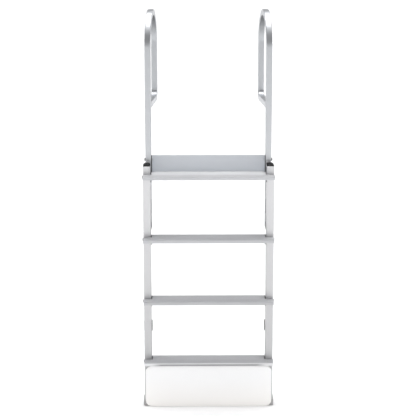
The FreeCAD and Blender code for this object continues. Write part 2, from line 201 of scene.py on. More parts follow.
# The floor and the camera
FLOOR_REACH = 45.0
FLOOR_GAP = 0.5 * MM
CAMERA_PLACE = (-0.075, -6.668, 1.206)
CAMERA_DOWN = math.radians(12.01)
CAMERA_TURN = math.radians(-0.63)
LENS = 122.3
FILM_WIDTH = 36.0
CLIP_END = 200.0

DOCKWARDS = Vector((0, 1, 0))
SIDES = (("left", -1), ("right", 1))

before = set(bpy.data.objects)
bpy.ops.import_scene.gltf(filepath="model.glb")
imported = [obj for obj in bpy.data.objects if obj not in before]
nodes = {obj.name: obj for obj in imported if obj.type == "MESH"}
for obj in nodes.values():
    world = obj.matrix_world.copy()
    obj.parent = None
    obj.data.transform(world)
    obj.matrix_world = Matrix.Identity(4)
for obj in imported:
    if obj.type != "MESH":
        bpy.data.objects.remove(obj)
cad_low, cad_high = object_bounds()


def spread(first, last, steps):
    """Even steps from a first value to a last one, both included."""
    return [first + (last - first) * i / steps for i in range(steps + 1)]


def shaded(colour, share):
    """A colour with its brightness multiplied."""
    return tuple(channel * share for channel in colour)


def set_stops(ramp, stops, tint=(1.0, 1.0, 1.0)):
    """Gives a colour ramp its stops, each a position and a level."""
    elements = ramp.color_ramp.elements
    elements[0].position, elements[1].position = stops[0][0], stops[-1][0]
    for position, _ in stops[1:-1]:
        elements.new(position)
    for element, (_, level) in zip(elements, stops):
        element.color = (*shaded(tint, level), 1.0)


class Tree:
    """A node tree, with one way to add any node to it."""

    def __init__(self, tree):
        self.tree = tree

    def plug(self, socket, value):
        """Joins an input to an output, or sets it to a plain value."""
        if isinstance(value, Term):
            value = value.socket
        if isinstance(value, bpy.types.NodeSocket):
            self.tree.links.new(value, socket)
        elif socket.type == "RGBA":
            socket.default_value = (*value, 1.0)
        else:
            socket.default_value = value

    def node(self, kind, inputs, **settings):
        """Adds a node. Its settings go first, because they can change which inputs it has."""
        added = self.tree.nodes.new(kind)
        for name, value in settings.items():
            setattr(added, name, value)
        for key, value in inputs.items():
            self.plug(added.inputs[key], value)
        return added

    def mixed(self, first, second, factor):
        """A colour between two others, as a node's output."""
        inputs = {"Factor": factor, 6: first, 7: second}
        return self.node("ShaderNodeMix", inputs, data_type="RGBA").outputs[2]

    def maths(self, operation, *values):
        """The output of a Math node on one to three values."""
        return self.node("ShaderNodeMath", dict(enumerate(values)), operation=operation).outputs[0]


class Term:
    """A value in a finish's node tree. Arithmetic on it adds Math nodes."""

    def __init__(self, finish, socket):
        self.finish = finish
        self.socket = socket

    def __add__(self, other):
        return self.finish.reckon("ADD", self, other)

    def __radd__(self, other):
        return self.finish.reckon("ADD", other, self)

    def __sub__(self, other):
        return self.finish.reckon("SUBTRACT", self, other)

    def __rsub__(self, other):
        return self.finish.reckon("SUBTRACT", other, self)

    def __mul__(self, other):
        return self.finish.reckon("MULTIPLY", self, other)

    def __truediv__(self, other):
        return self.finish.reckon("DIVIDE", self, other)


class Finish(Tree):
    """A material whose nodes give terms to reckon with."""

    def __init__(self, name):
        self.material = bpy.data.materials.new(name)
        self.material.use_nodes = True
        super().__init__(self.material.node_tree)

    def term(self, kind, inputs, output=0, **settings):
        """One output of a new node."""
        return Term(self, self.node(kind, inputs, **settings).outputs[output])

    def reckon(self, operation, *values):
        """The result of a sum or another operation."""
        return Term(self, self.maths(operation, *values))

    def mix(self, first, second, factor):
        """A colour between two others."""
        return Term(self, self.mixed(first, second, factor))

    def coordinates(self):
        """The object's own coordinates."""
        return self.term("ShaderNodeTexCoord", {}, "Object")

    def tube_run(self):
        """How far along and round a bent tube a point lies, and how far the tube looks up there."""
        return self.term("ShaderNodeAttribute", {}, "Vector", attribute_name="tube_run")

    def part(self, vector, axis):
        """The X, Y or Z of a vector."""
        return self.term("ShaderNodeSeparateXYZ", {0: vector}, axis)

    def along(self, axis):
        """The object's own X, Y or Z, in metres."""
        return self.part(self.coordinates(), axis)

    def noise(self, vector, scale=1.0, detail=2.0):
        """Noise from 0 to 1."""
        return self.term("ShaderNodeTexNoise", {"Vector": vector, "Scale": scale, "Detail": detail})

    def cloud(self, scale, detail=2.0):
        """Noise that is alike in all directions, and finer for a larger scale."""
        return self.noise(self.coordinates(), scale, detail)

    def streaks(self, stretch, detail=2.0, vector=None):
        """Noise that is drawn out along the axes with the smaller numbers."""
        inputs = {0: vector or self.coordinates(), 1: stretch}
        stretched = self.term("ShaderNodeVectorMath", inputs, operation="MULTIPLY")
        return self.noise(stretched, detail=detail)

    def fade(self, value, start, end):
        """0 where a value is at a start or before it, 1 where it is at an end or past it."""
        inputs = {"Value": value, "From Min": start, "From Max": end}
        return self.term("ShaderNodeMapRange", inputs, "Result")

    def ramp(self, value, stops):
        """A level read from stops, each a position and a level."""
        ramp = self.node("ShaderNodeValToRGB", {"Fac": value})
        set_stops(ramp, stops)
        return Term(self, ramp.outputs[0])

    def bump(self, height, strength, distance):
        """A height shown as relief."""
        inputs = {"Height": height, "Strength": strength, "Distance": distance}
        return self.term("ShaderNodeBump", inputs)

    def set(self, **values):
        """Sets the shader's inputs, with underscores for the spaces in their names."""
        shader = self.tree.nodes["Principled BSDF"]
        for name, value in values.items():
            self.plug(shader.inputs[name.replace("_", " ")], value)
        return self.material


def aluminium(
    name, colour, roughness, grain, metallic=1.0, cloudy=0.06, along_tube=False, height_shading=None
):
    """Drawn or rolled aluminium: fine lines along the metal, cloudy oxide and small handling marks,
    and along a tube painted shade on the faces turned down.

    The last argument names an upper and a lower level, and what the colour is multiplied by at the
    lower one: painted shade where that is below one, painted light where it is above.
    """
    finish = Finish(name)
    lines = finish.streaks(grain, detail=3.0, vector=finish.tube_run() if along_tube else None)
    cloud = finish.cloud(9.0, detail=3.0)
    specks = finish.fade(finish.cloud(420.0), 0.66, 0.74)
    clouded = finish.mix(shaded(colour, 1 - 2 * cloudy), colour, cloud * 0.7 + lines * 0.3)
    surface = finish.mix(clouded, shaded(colour, 0.8), specks * 0.35)
    # Along a tube, the faces turned down are darkened: painted shade.
    if along_tube:
        painted_underside_shade = finish.fade(finish.part(finish.tube_run(), "Z"), 0.0, -0.8)
        surface = finish.mix(surface, shaded(colour, 0.32), painted_underside_shade)
    # Painted shade by height, or painted light where the multiplier is above one, growing towards the
    # lower level.
    if height_shading:
        high, low, multiplied = height_shading
        way_down = finish.ramp((high - finish.along("Z")) / (high - low), HEIGHT_SHADING_CURVE)
        surface = finish.mix(surface, shaded(colour, multiplied), way_down)
    return finish.set(
        Base_Color=surface,
        Roughness=roughness + (lines - 0.5) * 0.1 + (cloud - 0.5) * 0.12 + specks * 0.08,
        Metallic=metallic,
        Normal=finish.bump(lines, 0.25, 0.2 * MM),
    )


def below_treads(finish):
    """How many pitches a point lies below the top tread, and how deep below the tread over it."""
    below = (TOP_TREAD - finish.along("Z")) / STEP_PITCH
    return below, finish.reckon("FRACT", below + TREAD_MARGIN) * STEP_PITCH


def tread_aluminium():
    """Ribbed tread extrusion: dull between the ribs, rubbed brighter on their crests, darker towards
    the front of the top face, and with painted shade that darkens the lower treads' tops and nosings
    step by step down.

    The bottom tread's nosing carries a painted highlight, with a painted shadow under its lip between
    the rails.
    """
    finish = Finish("ribbed_aluminium")
    lines = finish.streaks((5, 900, 900), detail=3.0)
    cloud = finish.cloud(11.0, detail=3.0)
    below, depth = below_treads(finish)
    crest = finish.fade(depth, 1.0 * MM, 0.45 * MM)
    nosing = finish.fade(depth, 2.0 * MM, 3.5 * MM)
    under_lip = finish.fade(depth, 6.0 * MM, 8.0 * MM)
    not_top = finish.fade(below, 0.4, 0.8)
    bottom = finish.fade(below, 2.8, 2.98)
    front = finish.fade(finish.along("Y"), -84 * MM, -124 * MM)
    between_rails = finish.fade(
        finish.reckon("ABSOLUTE", finish.along("X")), RAIL_INNER, RAIL_INNER - 45 * MM
    )
    # Painted shade: the treads below the top one are darker.
    grooves = finish.mix(TOP_GROOVES, LOWER_GROOVES_SHADED, not_top * (0.9 + cloud * 0.2))
    ribbed = finish.mix(grooves, RUBBED_CRESTS, crest * 0.6)
    # The top face is darker towards its front edge, most on the top tread.
    top_face = finish.mix(ribbed, TREAD_FRONT, front * (0.55 - not_top * 0.3))
    # Painted shade: the nosings darken step by step down, with a little random tone.
    plain = finish.mix(TOP_NOSING, LOWER_NOSING_SHADED, below * 0.3 + cloud * 0.1)
    # Painted highlight: the bottom tread's nosing is brightened.
    highlighted_nosing = finish.mix(plain, BOTTOM_NOSING_HIGHLIGHT, bottom)
    # Painted shadow: a dark line under the bottom tread's lip, between the rails.
    shadowed_nosing = finish.mix(highlighted_nosing, NOSING_SHADOW_LINE, under_lip * bottom * between_rails)
    return finish.set(
        Base_Color=finish.mix(top_face, shadowed_nosing, nosing),
        Roughness=0.5 - crest * 0.12 + (lines - 0.5) * 0.1 + (cloud - 0.5) * 0.14,
        Metallic=0.85,
        Normal=finish.bump(lines, 0.25, 0.2 * MM),
    )


def moulded(name, colour, roughness, texture, depth, gloss=0.5):
    """Moulded plastic or rubber: fine even texture with a faint cloud and scuffs."""
    finish = Finish(name)
    grain = finish.cloud(texture)
    cloud = finish.cloud(22.0, detail=3.0)
    scuff = finish.fade(finish.streaks((60, 240, 60)), 0.62, 0.75)
    pale = tuple(min(1.0, channel * 1.35 + 0.02) for channel in colour)
    body = finish.mix(shaded(colour, 0.85), colour, cloud)
    return finish.set(
        Base_Color=finish.mix(body, pale, scuff * 0.3),
        Roughness=roughness + (cloud - 0.5) * 0.12 + scuff * 0.08,
        Specular_IOR_Level=gloss,
        Normal=finish.bump(grain, depth, 0.3 * MM),
    )


def spacer_plastic():
    """Moulded spacers, dull grey, painted black at the top where the slot beside a rail shows them:
    painted shade.
    """
    finish = Finish("spacer_plastic")
    grain = finish.cloud(600.0)
    _, depth = below_treads(finish)
    # Painted shade: black at the top, where the slot beside the rail shows the spacer.
    below_slot = finish.fade(depth, 14 * MM, 20 * MM)
    return finish.set(
        Base_Color=finish.mix((0.012, 0.012, 0.013), (0.30, 0.30, 0.305), below_slot),
        Roughness=0.55 + (grain - 0.5) * 0.1,
        Specular_IOR_Level=0.2,
        Normal=finish.bump(grain, 0.25, 0.3 * MM),
    )


def white_sheet():
    """White panel sheet: a very fine orange-peel surface, with a painted warm reflection of the floor
    towards its foot.
    """
    finish = Finish("white_panel_sheet")
    peel = finish.cloud(260.0, detail=1.5)
    cloud = finish.cloud(5.0, detail=3.0)
    low, high = (corner.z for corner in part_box("lower_panel"))
    # Painted reflection of the floor: the sheet turns warmer towards its foot.
    foot = finish.fade((finish.along("Z") - low) / (high - low), 0.7, 0.0)
    scuff = finish.fade(finish.streaks((14, 60, 130), detail=3.0), 0.7, 0.82)
    sheet = finish.mix((0.91, 0.912, 0.915), (0.93, 0.93, 0.93), cloud)
    floor_reflected = finish.mix(sheet, (0.92, 0.89, 0.85), foot * 0.7)
    return finish.set(
        Base_Color=finish.mix(floor_reflected, (0.84, 0.84, 0.83), scuff * 0.25),
        Roughness=0.34 + (cloud - 0.5) * 0.1 + scuff * 0.12,
        Coat_Weight=0.15,
        Normal=finish.bump(peel, 0.12, 0.4 * MM),
    )


def machined_steel():
    """Stainless bolts: a fine bright grain with duller clouds."""
    finish = Finish("machined_steel")
    grain = finish.cloud(1400.0)
    cloud = finish.cloud(130.0)
    return finish.set(
        Base_Color=finish.mix((0.20, 0.20, 0.205), (0.32, 0.32, 0.33), cloud),
        Roughness=0.32 + (grain - 0.5) * 0.2 + (cloud - 0.5) * 0.1,
        Metallic=1.0,
        Normal=finish.bump(grain, 0.15, 0.1 * MM),
    )


# The tubes' faces turned down carry painted shade.
TUBE = aluminium(
    "satin_tube", (0.595, 0.61, 0.63), roughness=0.36, grain=(3, 1, 0), along_tube=True
)
# The rails darken towards their foot: painted shade.
RAIL = aluminium(
    "satin_rail", (0.735, 0.735, 0.745), roughness=0.42, grain=(700, 700, 4), metallic=0.9,
    height_shading=(RAIL_TOP, RAIL_SHADED_Z, 0.73),
)
RIBBED = tread_aluminium()
# The riser sheet is brightened towards its foot: painted light.
SHEET = aluminium(
    "brushed_sheet", (0.625, 0.65, 0.685), roughness=0.5, grain=(4, 700, 900), metallic=0.5,
    height_shading=(TOP_TREAD + 90 * MM, TOP_TREAD + 5 * MM, 1.22),
)
BRACKET = aluminium("mill_bracket", (0.66, 0.67, 0.69), roughness=0.46, grain=(300, 5, 300))
WELD = aluminium("weld_bead", (0.72, 0.72, 0.74), roughness=0.5, grain=(500, 500, 500), cloudy=0.12)
STEEL = machined_steel()
GREY_PLASTIC = moulded("grey_moulded_plastic", (0.40, 0.395, 0.395), 0.55, texture=500.0, depth=0.3)
BLACK_PLASTIC = moulded(
    "black_moulded_plastic", (0.014, 0.014, 0.015), 0.5, texture=600.0, depth=0.25, gloss=0.1
)
RUBBER = moulded("black_rubber", (0.05, 0.05, 0.052), 0.68, texture=800.0, depth=0.5)
SPACER = spacer_plastic()
PANEL = white_sheet()


def add_piece(name, mesh, material):
    """A finished mesh as a piece that rides with the ladder."""
    mesh.name = name
    mesh.materials.clear()
    mesh.materials.append(material)
    piece = bpy.data.objects.new(name, mesh)
    bpy.context.scene.collection.objects.link(piece)
    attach(piece, "root")
    return piece


def baked(obj):
    """What an object's modifiers make of it, as a plain mesh. The object is then removed."""
    bpy.context.view_layer.update()
    graph = bpy.context.evaluated_depsgraph_get()
    made = obj.evaluated_get(graph)
    mesh = bpy.data.meshes.new_from_object(made, preserve_all_data_layers=True, depsgraph=graph)
    obj.modifiers.clear()
    bpy.data.objects.remove(obj)
    return mesh


def working_copy(name, mesh):
    """An object that only lasts until its modifiers are baked."""
    obj = bpy.data.objects.new(name + "_work", mesh)
    bpy.context.scene.collection.objects.link(obj)
    return obj


def mesh_of(name, shape):
    """A built shape as a mesh. The shape is then freed."""
    mesh = bpy.data.meshes.new(name)
    shape.to_mesh(mesh)
    shape.free()
    return mesh


def face_outwards(mesh):
    """Turns every face of a closed mesh to look outwards."""
    shape = bmesh.new()
    shape.from_mesh(mesh)
    bmesh.ops.recalc_face_normals(shape, faces=shape.faces)
    shape.to_mesh(mesh)
    shape.free()
    return mesh


def merged_node(node):
    """A copy of a node's loose triangles, joined, with its flat faces made whole."""
    mesh = nodes[node].data.copy()
    shape = bmesh.new()
    shape.from_mesh(mesh)
    bmesh.ops.remove_doubles(shape, verts=shape.verts, dist=JOIN_DISTANCE)
    bmesh.ops.dissolve_limit(shape, angle_limit=FLAT_ANGLE, verts=shape.verts, edges=shape.edges)
    shape.to_mesh(mesh)
    shape.free()
    # The normals kept for the triangles don't fit the whole faces and would tilt their shading
    stored = mesh.attributes.get("custom_normal")
    if stored is not None:
        mesh.attributes.remove(stored)
    return mesh


def eased(node, width, material, segments=2):
    """A node's shape with its edges rounded over, in place of the node."""
    work = working_copy(node, merged_node(node))
    bevel = work.modifiers.new("ease", "BEVEL")
    bevel.width = width
    bevel.segments = segments
    bevel.limit_method = "ANGLE"
    bevel.angle_limit = EDGE_ANGLE
    bevel.use_clamp_overlap = True
    bevel.harden_normals = True
    work.data.shade_smooth()
    piece = add_piece(node + "_eased", baked(work), material)
    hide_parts(node)


def chains_mesh(name, chains):
    """Separate chains of points as one mesh of edges. A closed chain repeats its first point."""
    points, edges = [], []
    for chain in chains:
        start = len(points)
        points += chain
        edges += [(start + i, start + i + 1) for i in range(len(chain) - 1)]
    mesh = bpy.data.meshes.new(name)
    mesh.from_pydata(points, edges, [])
    return mesh


def store(mesh, name, kind, field, values):
    """Stores a value at each of a mesh's points, for a geometry node group to read."""
    attribute = mesh.attributes.new(name, kind, "POINT")
    for item, value in zip(attribute.data, values):
        setattr(item, field, value)


class Form(Tree):
    """A geometry node group with named inputs, the last of them its finish."""

    def __init__(self, name, **inputs):
        super().__init__(bpy.data.node_groups.new(name, "GeometryNodeTree"))
        sockets = {"Geometry": "Geometry", **inputs, "Finish": "Material"}
        for label, kind in sockets.items():
            self.tree.interface.new_socket(label, in_out="INPUT", socket_type="NodeSocket" + kind)
        self.tree.interface.new_socket("Geometry", in_out="OUTPUT", socket_type="NodeSocketGeometry")
        self.given = self.tree.nodes.new("NodeGroupInput").outputs
        self.result = self.tree.nodes.new("NodeGroupOutput").inputs[0]

    def attribute(self, name, kind):
        """A value stored at each of the mesh's points."""
        stored = self.node("GeometryNodeInputNamedAttribute", {"Name": name}, data_type=kind)
        return stored.outputs["Attribute"]

    def smooth(self, geometry):
        """A geometry shaded smooth."""
        return self.node("GeometryNodeSetShadeSmooth", {0: geometry}).outputs[0]

    def deliver(self, geometry):
        """Makes a geometry real, gives it the finish and passes it on as the result."""
        real = self.node("GeometryNodeRealizeInstances", {0: geometry})
        inputs = {0: real.outputs[0], "Material": self.given["Finish"]}
        self.plug(self.result, self.node("GeometryNodeSetMaterial", inputs).outputs[0])
        return self

    def apply(self, name, mesh, **values):
        """What the group makes of a mesh, with values for its inputs."""
        work = working_copy(name, mesh)
        modifier = work.modifiers.new("form", "NODES")
        modifier.node_group = self.tree
        for item in self.tree.interface.items_tree:
            if item.in_out == "INPUT" and item.name in values:
                modifier[item.identifier] = values[item.name]
        return baked(work)


def bent_tube_form():
    """A square tube with rounded corners along a path, its run and girth kept for the finish."""
    form = Form("bent_square_tube", Side="Float", Corner="Float")
    given = form.given
    run = form.attribute("run", "FLOAT")
    across = form.attribute("across", "FLOAT_VECTOR")
    path = form.node("GeometryNodeMeshToCurve", {"Mesh": given["Geometry"]})
    aimed = form.node(
        "GeometryNodeSetCurveNormal", {"Curve": path.outputs["Curve"], "Normal": across}, mode="FREE"
    )
    square = form.node(
        "GeometryNodeCurvePrimitiveQuadrilateral",
        {"Width": given["Side"], "Height": given["Side"]},
        mode="RECTANGLE",
    )
    rounded = form.node(
        "GeometryNodeFilletCurve",
        {"Curve": square.outputs["Curve"], "Radius": given["Corner"], "Count": CORNER_STEPS},
        mode="POLY",
    )
    girth = form.node("GeometryNodeSplineParameter", {}).outputs["Length"]
    outline = {"Geometry": rounded.outputs[0]}
    profile = form.node("GeometryNodeCaptureAttribute", outline, domain="POINT")
    profile.capture_items.new("FLOAT", "girth")
    form.plug(profile.inputs[1], girth)
    tube = form.node("GeometryNodeCurveToMesh", {
        "Curve": aimed.outputs[0],
        "Profile Curve": profile.outputs["Geometry"],
        "Fill Caps": True,
    })
    # How far each face looks up is kept too; the tube's finish paints shade on the faces turned down
    # with it.
    normal = form.node("GeometryNodeInputNormal", {}).outputs["Normal"]
    facing = form.node("ShaderNodeSeparateXYZ", {0: normal})
    where = form.node("ShaderNodeCombineXYZ", {0: run, 1: profile.outputs[1], 2: facing.outputs["Z"]})
    stored = form.node(
        "GeometryNodeStoreNamedAttribute",
        {"Geometry": tube.outputs["Mesh"], "Name": "tube_run", "Value": where.outputs[0]},
        data_type="FLOAT_VECTOR",
        domain="POINT",
    )
    return form.deliver(form.smooth(stored.outputs[0]))


def over_foot_bar(side, reach, height):
    """A point at a height, and so far from a handrail's post along its foot bar."""
    toe = -side * TOE_IN
    return Vector((side * POST_X + math.sin(toe) * reach, POST_Y + math.cos(toe) * reach, height))


def sideways(side, share):
    """A handrail tube's sideways direction, where it has turned by a share of the toe-in."""
    turned = -side * TOE_IN * share
    return Vector((math.cos(turned), -math.sin(turned), 0))


def handrail_path(side):
    """Points along the middle of a handrail's tube, and the tube's sideways direction at each."""
    across = sideways(side, 1)
    stations = [(over_foot_bar(side, 0, POST_BOTTOM), sideways(side, 0))]
    for share in spread(0, 1, TWIST_STEPS):
        height = TWIST_START + (TWIST_END - TWIST_START) * share
        stations.append((over_foot_bar(side, 0, height), sideways(side, share)))
    for angle in spread(0, math.pi, LOOP_STEPS):
        reach = LOOP_RADIUS * (1 - math.cos(angle))
        height = LOOP_CENTRE_Z + LOOP_RADIUS * math.sin(angle)
        stations.append((over_foot_bar(side, reach, height), across))
    for angle in spread(0, math.pi / 2, BEND_STEPS):
        reach = 2 * LOOP_RADIUS - FOOT_BEND_RADIUS * (1 - math.cos(angle))
        height = FOOT_BAR_Z + FOOT_BEND_RADIUS * (1 - math.sin(angle))
        stations.append((over_foot_bar(side, reach, height), across))
    stations.append((over_foot_bar(side, TUBE_SIDE / 4, FOOT_BAR_Z), across))
    return stations


def path_mesh(name, stations):
    """A chain of edges that carries its sideways directions and how far along it each point is."""
    points = [place for place, _ in stations]
    runs = [0.0]
    for last, place in zip(points, points[1:]):
        runs.append(runs[-1] + (place - last).length)
    mesh = chains_mesh(name, [points])
    store(mesh, "across", "FLOAT_VECTOR", "vector", [direction for _, direction in stations])
    store(mesh, "run", "FLOAT", "value", runs)
    return mesh


def round_bar(name, centre, radius, length):
    """An upright round cutter."""
    shape = bmesh.new()
    bmesh.ops.create_cone(
        shape, cap_ends=True, segments=TURNED_POINTS, radius1=radius, radius2=radius, depth=length,
        matrix=Matrix.Translation(centre),
    )
    return working_copy(name, mesh_of(name, shape))


def add_handrail(name, side, form):
    """A bent handrail with its deck bolt holes, in place of its node."""
    path = path_mesh(name + "_path", handrail_path(side))
    tube = form.apply(name, path, Side=TUBE_SIDE, Corner=TUBE_CORNER, Finish=TUBE)
    work = working_copy(name, face_outwards(tube))
    cutters = []
    for reach in DECK_BOLT_REACHES:
        centre = over_foot_bar(side, reach, FOOT_BAR_Z)
        cutter = round_bar(name + "_hole", centre, DECK_HOLE_RADIUS, 2 * TUBE_SIDE)
        cutters.append(cutter)
        drill = work.modifiers.new("drill", "BOOLEAN")
        drill.operation = "DIFFERENCE"
        drill.object = cutter
        drill.solver = "EXACT"
    weighted = work.modifiers.new("even", "WEIGHTED_NORMAL")
    weighted.keep_sharp = True
    weighted.weight = FACE_WEIGHT
    piece = add_piece(name + "_tube", baked(work), TUBE)
    for cutter in cutters:
        bpy.data.objects.remove(cutter)
    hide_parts(name)


def weld_form():
    """A weld bead along each path: a thin bar whose thickness ripples as the weld was laid."""
    form = Form("weld_bead_tree", Radius="Float", Ripple="Float")
    given = form.given
    path = form.node("GeometryNodeMeshToCurve", {"Mesh": given["Geometry"]})
    even = form.node(
        "GeometryNodeResampleCurve", {"Curve": path.outputs[0], "Length": BEAD_STEP}, mode="LENGTH"
    )
    along = form.node("GeometryNodeSplineParameter", {})
    turns = form.maths("DIVIDE", along.outputs["Length"], given["Ripple"])
    wave = form.maths("SINE", form.maths("MULTIPLY", turns, 2 * math.pi))
    swell = form.maths("MULTIPLY_ADD", wave, BEAD_SWELL, 1.0)
    profile = form.node("GeometryNodeCurvePrimitiveCircle", {"Resolution": BEAD_SIDES, "Radius": 1.0})
    bead = form.node("GeometryNodeCurveToMesh", {
        "Curve": even.outputs[0],
        "Profile Curve": profile.outputs["Curve"],
        "Scale": form.maths("MULTIPLY", swell, given["Radius"]),
        "Fill Caps": True,
    })
    return form.deliver(form.smooth(bead.outputs[0]))


def foot_bar_weld(side):
    """The bead round the end of a foot bar, on the back of its post."""
    half = TUBE_SIDE / 2
    corners = [(-half, -half), (half, -half), (half, half), (-half, half), (-half, -half)]
    return [Vector((side * POST_X + x, FOOT_WELD_Y, FOOT_BAR_Z + z)) for x, z in corners]


def post_welds(side):
    """The beads in both corners between a post and its rail."""
    inner = (RAIL_INNER - BEAD_OFF_SIDE, RAIL_BACK - BEAD_OFF_FACE)
    outer = (POST_X + TUBE_SIDE / 2 + BEAD_OFF_SIDE, RAIL_BACK + BEAD_OFF_FACE)
    return [
        [Vector((side * x, y, top)), Vector((side * x, y, top - POST_WELD_LENGTH))]
        for top in POST_WELD_TOPS
        for x, y in (inner, outer)
    ]


def ear_weld(side):
    """The bead over the ear that joins a post to the top of its rail."""
    chain = []
    for angle in spread(EAR_WELD_START, math.pi - EAR_WELD_START, EAR_STEPS):
        x = EAR_X - EAR_RADIUS * math.cos(angle)
        chain.append(Vector((side * x, EAR_WELD_Y, RAIL_TOP + EAR_RADIUS * math.sin(angle))))
    return chain


def bracket_welds(side):
    """The bead under each tread, at the end of its bracket's leg."""
    x = side * (BRACKET_BACK - BRACKET_LEG)
    ends = (RAIL_MIDDLE - BRACKET_WELD_HALF, RAIL_MIDDLE + BRACKET_WELD_HALF)
    chains = []
    for i in range(len(TREAD_NAMES)):
        z = TOP_TREAD - STEP_PITCH * i - TREAD_SEAT - BEAD_OFF_FACE
        chains.append([Vector((x, y, z)) for y in ends])
    return chains


def weld_chains():
    """The paths of all the weld beads."""
    chains = []
    for _, side in SIDES:
        chains += [foot_bar_weld(side), *post_welds(side), ear_weld(side), *bracket_welds(side)]
    return chains


def join_rings(shape, rings):
    """Puts faces from each ring of points to the next, and closes both ends."""
    count = len(rings[0])
    for lower, upper in zip(rings, rings[1:]):
        for i in range(count):
            j = (i + 1) % count
            shape.faces.new((lower[i], lower[j], upper[j], upper[i]))
    shape.faces.new(rings[0][::-1])
    shape.faces.new(rings[-1])


def add_ring(shape, count, radius_at, height_at):
    """A ring of points round Z. Its radius and height may differ with the angle."""
    ring = []
    for angle in spread(0, 2 * math.pi, count)[:-1]:
        radius = radius_at(angle)
        place = (radius * math.cos(angle), radius * math.sin(angle), height_at(angle))
        ring.append(shape.verts.new(place))
    return ring


def add_turned(shape, profile, count=TURNED_POINTS):
    """A round solid along Z from (radius, height) pairs, closed at both ends."""
    join_rings(shape, [
        add_ring(shape, count, lambda _: radius, lambda _: height) for radius, height in profile
    ])


def add_hexagon(shape, base, height):
    """A chamfered hexagon along +Z from a base height: a bolt head or a nut."""
    top = base + height

    def edge(angle):
        """How far the hexagon's edge is from its middle, in a direction."""
        turn = (angle + math.pi / 6) % (math.pi / 3) - math.pi / 6
        return HEX_FLATS / 2 / math.cos(turn)

    def shoulder(angle):
        """How high the chamfer starts, in a direction."""
        return top - max(0.0, edge(angle) - HEX_CROWN) * math.tan(HEX_CHAMFER)

    join_rings(shape, [
        add_ring(shape, HEX_POINTS, edge, lambda _: base),
        add_ring(shape, HEX_POINTS, edge, shoulder),
        add_ring(shape, HEX_POINTS, lambda _: HEX_CROWN, lambda _: top),
    ])


def fastener(name, shape):
    """A built fastener as an object, to be put in many places."""
    return working_copy(name, face_outwards(mesh_of(name, shape)))


def blind_bolt(name, grip):
    """A hex bolt with its head on the plane Z = 0, held by an insert's rim at its other end."""
    shape = bmesh.new()
    add_hexagon(shape, 0.0, HEAD_HEIGHT)
    insert_foot = -grip - INSERT_RIM
    add_turned(shape, [
        (INSERT_RADIUS - RIM_EASE, insert_foot),
        (INSERT_RADIUS, insert_foot + RIM_EASE_HEIGHT),
        (INSERT_RADIUS, -grip),
        (SHANK_RADIUS, -grip),
        (SHANK_RADIUS, 0.0),
    ])
    return fastener(name, shape)


def through_bolt(name, grip):
    """A hex bolt with its head on the plane Z = 0, and a washer and nut at the end of its grip."""
    shape = bmesh.new()
    add_hexagon(shape, 0.0, HEAD_HEIGHT)
    washer_foot = -grip - WASHER_THICKNESS
    add_turned(shape, [
        (WASHER_RADIUS - RIM_EASE, washer_foot),
        (WASHER_RADIUS, washer_foot + RIM_EASE_HEIGHT),
        (WASHER_RADIUS, -grip - RIM_EASE_HEIGHT),
        (WASHER_RADIUS - RIM_EASE, -grip),
    ])
    nut_foot = washer_foot - NUT_HEIGHT
    add_hexagon(shape, nut_foot, NUT_HEIGHT)
    end = nut_foot - SHANK_END
    profile = [(SHANK_RADIUS - THREAD_LEAD, end), (SHANK_RADIUS, end + THREAD_LEAD)]
    level = end + THREAD_START
    while level < nut_foot:
        profile += [(SHANK_RADIUS, level), (THREAD_ROOT_RADIUS, level + THREAD_PITCH / 2)]
        level += THREAD_PITCH
    profile += [(SHANK_RADIUS, nut_foot), (SHANK_RADIUS, 0.0)]
    add_turned(shape, profile, FINE_TURNED_POINTS)
    return fastener(name, shape)


def rivet(name):
    """A domed blind rivet, its flange on the plane Z = 0 and a shallow hollow in its dome."""
    shape = bmesh.new()
    profile = [
        (RIVET_STEM_RADIUS, -RIVET_STEM_LENGTH),
        (RIVET_STEM_RADIUS, 0.0),
        (RIVET_FLANGE_RADIUS, 0.0),
        (RIVET_FLANGE_TOP_RADIUS, RIVET_FLANGE_HEIGHT),
    ]
    for angle in spread(0, math.pi / 2, RIVET_DOME_STEPS)[1:]:
        radius = max(RIVET_RIM_RADIUS, RIVET_DOME_RADIUS * math.cos(angle))
        profile.append((radius, RIVET_FLANGE_HEIGHT + RIVET_DOME_HEIGHT * math.sin(angle)))
    profile.append((RIVET_HOLLOW_RADIUS, RIVET_HOLLOW_HEIGHT))
    add_turned(shape, profile, FINE_TURNED_POINTS)
    return fastener(name, shape)


def fastener_form():
    """Puts one fastener on every point, its head facing along the point's own direction."""
    form = Form("fasteners_on_points", Fastener="Object", Turn="Float")
    given = form.given
    facing = form.attribute("facing", "FLOAT_VECTOR")
    template = form.node("GeometryNodeObjectInfo", {"Object": given["Fastener"]})
    aimed = form.node("FunctionNodeAlignRotationToVector", {"Vector": facing}, axis="Z")
    drawn = form.node("FunctionNodeRandomValue", {"Seed": TURN_SEED}, data_type="FLOAT")
    # The node has a set of sockets for each kind of value, and only the plain numbers are used
    least, most = [socket for socket in drawn.inputs if socket.type == "VALUE"][:2]
    angle = [socket for socket in drawn.outputs if socket.type == "VALUE"][0]
    form.plug(least, 0.0)
    form.plug(most, given["Turn"])
    spin = form.node("ShaderNodeCombineXYZ", {2: angle})
    turned = form.node(
        "FunctionNodeRotateRotation",
        {"Rotation": aimed.outputs[0], "Rotate By": spin.outputs[0]},
        rotation_space="LOCAL",
    )
    placed = form.node("GeometryNodeInstanceOnPoints", {
        "Points": given["Geometry"],
        "Instance": template.outputs["Geometry"],
        "Rotation": turned.outputs[0],
    })
    return form.deliver(placed.outputs[0])


